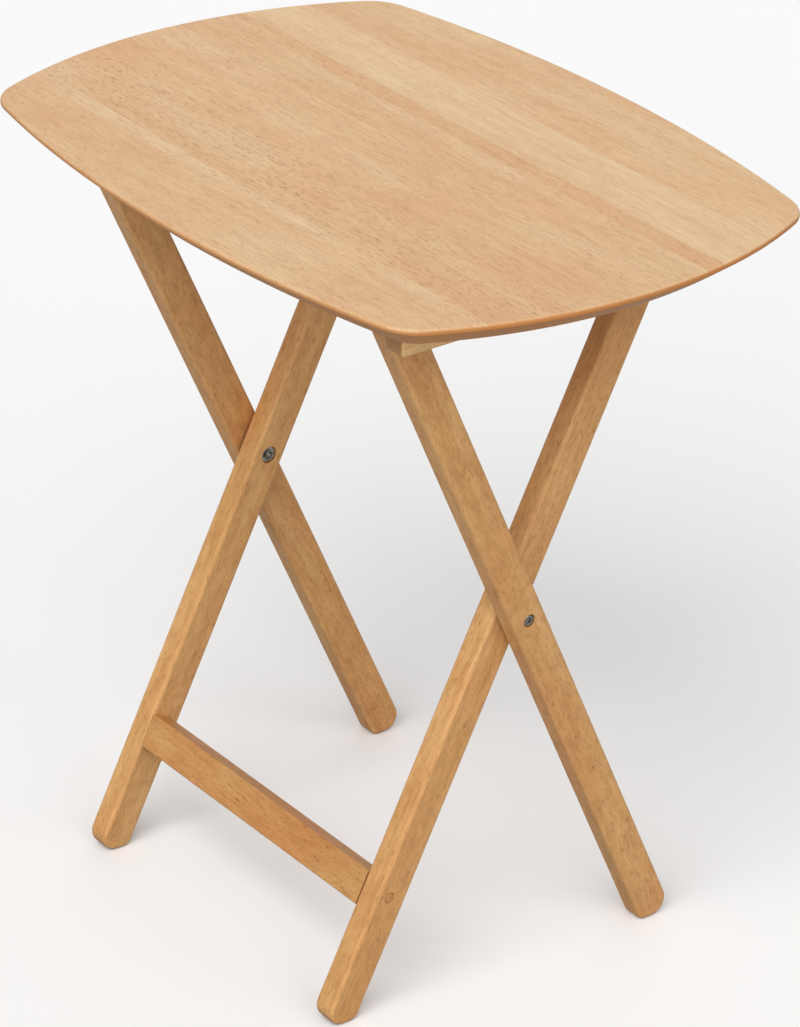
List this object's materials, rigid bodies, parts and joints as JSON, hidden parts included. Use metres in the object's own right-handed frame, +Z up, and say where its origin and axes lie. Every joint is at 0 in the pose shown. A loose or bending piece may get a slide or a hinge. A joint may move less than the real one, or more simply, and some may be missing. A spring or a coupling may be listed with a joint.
{
  "type": "folding tray table",
  "caption": "Barrel-shaped solid wood tray on two crossed wooden leg frames that fold flat like scissors.",
  "frame": {"origin": "on the floor, under the middle of the tray", "axes": "+X along the tray's long side, +Y toward the catch rod and the inner legs' tops, +Z up"},
  "size_m": [0.603, 0.452, 0.66],
  "materials": {
    "tray_wood": "natural rubberwood, satin clear lacquer",
    "leg_wood": "natural rubberwood, satin clear lacquer, a little darker than the tray",
    "rail_wood": "natural rubberwood, satin clear lacquer",
    "plug_wood": "turned wood plug, satin clear lacquer",
    "steel": "dull plated steel",
    "zinc_plated": "zinc-plated steel"
  },
  "bodies": {
    "outer_frame": {"outer_leg_right": "leg_wood", "outer_leg_left": "leg_wood", "scissor_bolt_right": "steel", "scissor_washer_right": "zinc_plated", "scissor_nut_right": "steel", "scissor_spacer_right": "zinc_plated", "scissor_bolt_left": "steel", "scissor_washer_left": "zinc_plated", "scissor_nut_left": "steel", "scissor_spacer_left": "zinc_plated", "tray_pivot_washer_right": "zinc_plated", "tray_pivot_spacer_right": "zinc_plated", "tray_pivot_washer_left": "zinc_plated", "tray_pivot_spacer_left": "zinc_plated"},
    "inner_frame": {"inner_leg_right": "leg_wood", "inner_leg_left": "leg_wood", "lower_stretcher": "rail_wood", "catch_rod": "rail_wood", "catch_rod_pin_right": "zinc_plated", "stretcher_screw_right": "zinc_plated", "stretcher_plug_right": "plug_wood", "stretcher_dowel_right": "rail_wood", "catch_rod_pin_left": "zinc_plated", "stretcher_screw_left": "zinc_plated", "stretcher_plug_left": "plug_wood", "stretcher_dowel_left": "rail_wood"},
    "tray": {"tray_top": "tray_wood", "cleat_right": "rail_wood", "cleat_left": "rail_wood", "cleat_screw_right_front": "zinc_plated", "cleat_screw_right_middle": "zinc_plated", "cleat_screw_right_rear": "zinc_plated", "cleat_screw_left_front": "zinc_plated", "cleat_screw_left_middle": "zinc_plated", "cleat_screw_left_rear": "zinc_plated", "tray_pivot_screw_right": "steel", "tray_pivot_screw_left": "steel"}
  },
  "joints": [
    {"name": "tray_tilt", "type": "hinge", "parent": "outer_frame", "child": "tray", "pos_m": [0, -0.13776, 0.62], "axis": [1, 0, 0], "range_deg": [0, 115]},
    {"name": "legs_fold", "type": "hinge", "parent": "outer_frame", "child": "inner_frame", "pos_m": [0, 0.0044, 0.333], "axis": [1, 0, 0], "range_deg": [0, 46]}
  ],
  "couplings": [
    {"joint": "legs_fold", "follows": "tray_tilt", "ratio": 0.4}
  ]
}
